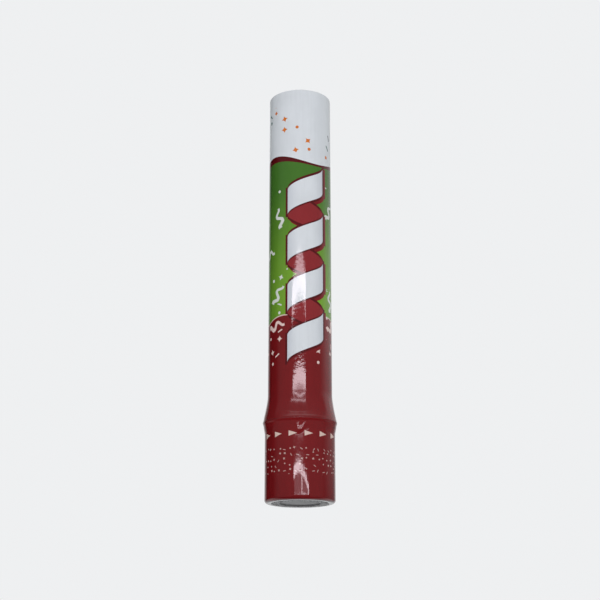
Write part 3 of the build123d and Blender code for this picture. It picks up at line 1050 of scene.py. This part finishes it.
def rubber(name, colour, bloom_colour):
    """Black rubber with a pale bloom and a matt, slightly pitted skin."""
    material, shader = new_material(name, 0.7)
    spot = place(shader)
    bloom = noise(spot, 350, 4)
    pits = noise(spot, 3000, 2)
    paint(shader, mix(bloom.ramp(0.45, 0.75), colour, bloom_colour), 0.55 + pits * 0.3)
    add_relief(shader, pits, 0.02 * MM)
    return material


def dress(material, *nodes):
    """Gives CAD nodes a finish in place of their plain one."""
    for node in nodes:
        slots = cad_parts[node].data.materials
        slots.clear()
        slots.append(material)


def dress_solids():
    natural = ((0.74, 0.73, 0.68), (0.64, 0.63, 0.58))
    dress(foot_plastic(), "base_cup")
    dress(wound_board(), "cardboard_tube")
    dress(moulded_plastic("cam_plastic", (0.035, 0.037, 0.042), (0.024, 0.025, 0.029), 0.4), "cam_plate")
    dress(moulded_plastic("housing_plastic", *natural, 0.45), "release_housing")
    dress(moulded_plastic("spider_plastic", *natural, 0.5), "cylinder_spider")
    dress(moulded_plastic("bung_plastic", (0.78, 0.78, 0.76), (0.7, 0.7, 0.69), 0.35), "cylinder_bung")
    red = moulded_plastic("jaw_plastic", (0.45, 0.018, 0.014), (0.36, 0.012, 0.01), 0.38)
    dress(red, "release_jaw_1", "release_jaw_2", "release_jaw_3")
    steel = drawn_metal("pin_steel", (0.66, 0.66, 0.68), (0.54, 0.54, 0.56), 0.25)
    dress(steel, "jaw_pin_1", "jaw_pin_2", "jaw_pin_3")
    dress(drawn_metal("screw_steel", (0.62, 0.63, 0.66), (0.5, 0.51, 0.55), 0.35), "cam_plate_screws")
    dress(drawn_metal("cylinder_aluminium", (0.76, 0.77, 0.78), (0.64, 0.65, 0.66), 0.36), "air_cylinder")
    dress(rubber("gasket_rubber", (0.014, 0.014, 0.014), (0.035, 0.035, 0.036)), "neck_gasket")
    dress(rubber("ring_rubber", (0.01, 0.01, 0.01), (0.026, 0.026, 0.027)), "bung_o_ring")
    dress(flat_board("wad_board", (0.42, 0.33, 0.22), (0.31, 0.24, 0.15)), "wad_card")
    dress(flat_board("lid_board", (0.42, 0.34, 0.24), (0.32, 0.25, 0.165)), "lid_card")


tube_sleeve()
base_sleeve()
paper_slips()
lid_face()
foam_disc()
dress_solids()


# Stage: floor, light and camera

floor_reach = 1.8
floor_fade = (0.05, 0.4)
floor_hole = 21 * MM
floor_segments = 96
camera_back = 0.843
camera_level = -0.1064
camera_pitch = 0.29
focal_pixels = 1228.66
picture_pixels = 600
sensor_width = 36.0
PALE = (0.86, 0.87, 0.88)
DARK_ROOM = 0.17
WORLD_LIGHT = 1.06
WORLD_LIGHT_BELOW = 0.105
LEFT_SHADE = 0.85
RIGHT_SHADE = 0.72
LIGHT_ABOVE = 0.36
LIGHT_BEHIND = 0.14
WINDOW_TINT = (1.0, 0.88, 0.94)
window_back = 1.25

# Bright strips of the window in front: left, right, low and high edge, and radiance
WINDOW_STRIPS = (
    (-0.3, 0.25, 0.5805, 0.597, 4),
    (-0.7, 0.46, 0.515, 0.58, 6.5),
    (0.41, 0.46, 0.49, 0.5145, 5),
    (-0.6, 0.46, 0.3475, 0.393, 8.5),
    (-0.46, 0.4, 0.288, 0.298, 6),
    (-0.15, -0.07, 0.274, 0.287, 8),
    (-0.06, 0.22, 0.264, 0.2735, 2),
    (-0.46, 0.06, 0.2065, 0.224, 10),
    (0.07, 0.2, 0.202, 0.2185, 10),
    (0.21, 0.36, 0.1985, 0.214, 10),
    (0.37, 0.5, 0.196, 0.211, 9),
    (0.51, 0.68, 0.193, 0.206, 9),
    (0.6, 0.68, 0.1735, 0.1925, 8),
    (-0.4, 0.09, 0.1735, 0.2015, 0.9),
    (0.1, 0.16, 0.1735, 0.2015, 8),
    (0.17, 0.59, 0.1735, 0.1925, 0.9),
    (-0.4, 0.14, 0.1665, 0.1705, 10),
    (0.15, 0.68, 0.169, 0.173, 10),
)


def ray(tree, kind):
    """1 for rays of one kind, such as Camera or Glossy."""
    return Field(tree.nodes.new("ShaderNodeLightPath").outputs[f"Is {kind} Ray"])


def make_floor():
    """A pale floor that shows from above only, open under the foot so that the underside gets light.
    Away from the object it fades into the backdrop, and glossy pieces mirror the room instead of it."""
    turn = np.linspace(0, TURN, floor_segments, endpoint=False)
    circle = np.stack((np.cos(turn), np.sin(turn), 0 * turn), axis=1)
    inner = np.arange(floor_segments)
    after = np.roll(inner, -1)
    faces = np.stack((inner, inner + floor_segments, after + floor_segments, after), axis=1)
    floor = add_mesh("floor", np.concatenate((circle * floor_hole, circle * floor_reach)), faces.tolist())
    material, shader = new_material("floor", 0.8)
    tree = material.node_tree
    feed(shader.inputs["Base Color"], PALE)
    backdrop = tree.nodes.new("ShaderNodeEmission")
    feed(backdrop.inputs["Color"], PALE)
    clear = tree.nodes.new("ShaderNodeBsdfTransparent")
    side = Field(tree.nodes.new("ShaderNodeNewGeometry").outputs["Backfacing"])
    x, y, _ = place(shader)
    far = length(x, y).ramp(*floor_fade) * ray(tree, "Camera")
    surface = mix_shaders(far, shader, backdrop)
    surface = mix_shaders(side.max(ray(tree, "Glossy")), surface, clear)
    tree.links.new(surface.outputs[0], tree.nodes["Material Output"].inputs["Surface"])
    floor.data.materials.append(material)


def make_world():
    """Soft light from all round: more from above and behind, less from the sides and below. The camera
    sees a pale backdrop, and glossy pieces mirror a room that is dim in front, dark to the left and low
    down, and pale to the right, overhead and behind."""
    world = bpy.data.worlds.new("studio")
    bpy.context.scene.world = world
    world.use_nodes = True
    tree = world.node_tree
    light = tree.nodes["Background"]
    rightward, backward, upward = place(light, "Generated")
    feed(light.inputs["Color"], (1.0, 1.0, 1.0))
    horizon = upward.ramp(-0.25, 0.05)
    strength = WORLD_LIGHT_BELOW + horizon * (WORLD_LIGHT - WORLD_LIGHT_BELOW)
    shade = rightward.ramp(-0.2, -0.8) * LEFT_SHADE + rightward.ramp(0.2, 0.8) * RIGHT_SHADE
    strength = strength * (1 - shade) + upward.ramp(0.3, 0.9) * LIGHT_ABOVE
    strength += backward.ramp(0.2, 0.8) * horizon * LIGHT_BEHIND
    feed(light.inputs["Strength"], strength)
    backdrop = tree.nodes.new("ShaderNodeBackground")
    feed(backdrop.inputs["Color"], PALE)
    camera_ray = ray(tree, "Camera")
    front = upward.ramp(-0.3, -0.18) * backward.ramp(0.1, -0.25) * DARK_ROOM
    glow = 0.25 + upward.ramp(0.13, 0.27) * 0.52 - upward.ramp(0.33, 0.38) * 0.12
    beside = rightward.ramp(0.0, 0.3) * backward.ramp(-0.4, 0.3) * glow
    under = backward.ramp(-0.2, 0.3) * upward.ramp(-0.05, -0.4)
    mirrored = backward.ramp(0.7, 0.95).max(upward.ramp(0.74, 0.88)).max(beside).max(under).max(front)
    feed(backdrop.inputs["Strength"], mirrored.max(camera_ray))
    seen = camera_ray.max(ray(tree, "Glossy")).max(ray(tree, "Transmission"))
    surface = mix_shaders(seen, light, backdrop)
    tree.links.new(surface.outputs[0], tree.nodes["World Output"].inputs["Surface"])


def make_lights():
    """A window in front, in strips, whose mirror image runs up the film."""
    for number, (left, right, low, high, radiance) in enumerate(WINDOW_STRIPS, start=1):
        lamp = bpy.data.lights.new(f"window_{number}", "AREA")
        lamp.color = WINDOW_TINT
        lamp.shape = "RECTANGLE"
        lamp.size = right - left
        lamp.size_y = high - low
        lamp.energy = radiance * math.pi * (right - left) * (high - low)
        holder = add_object(lamp.name, lamp)
        holder.location = ((left + right) / 2, -window_back, (low + high) / 2)
        holder.rotation_euler = Vector((0.0, -1.0, 0.0)).to_track_quat("Z", "Y").to_euler()


def make_camera():
    data = bpy.data.cameras.new("camera")
    data.sensor_width = sensor_width
    data.lens = focal_pixels / picture_pixels * sensor_width
    camera = add_object("camera", data)
    camera.location = (0.0, -camera_back, camera_level)
    camera.rotation_euler = (math.pi / 2 + camera_pitch, 0.0, 0.0)
    bpy.context.scene.camera = camera


make_floor()
make_world()
make_lights()
make_camera()
bpy.context.scene.view_settings.view_transform = "Standard"
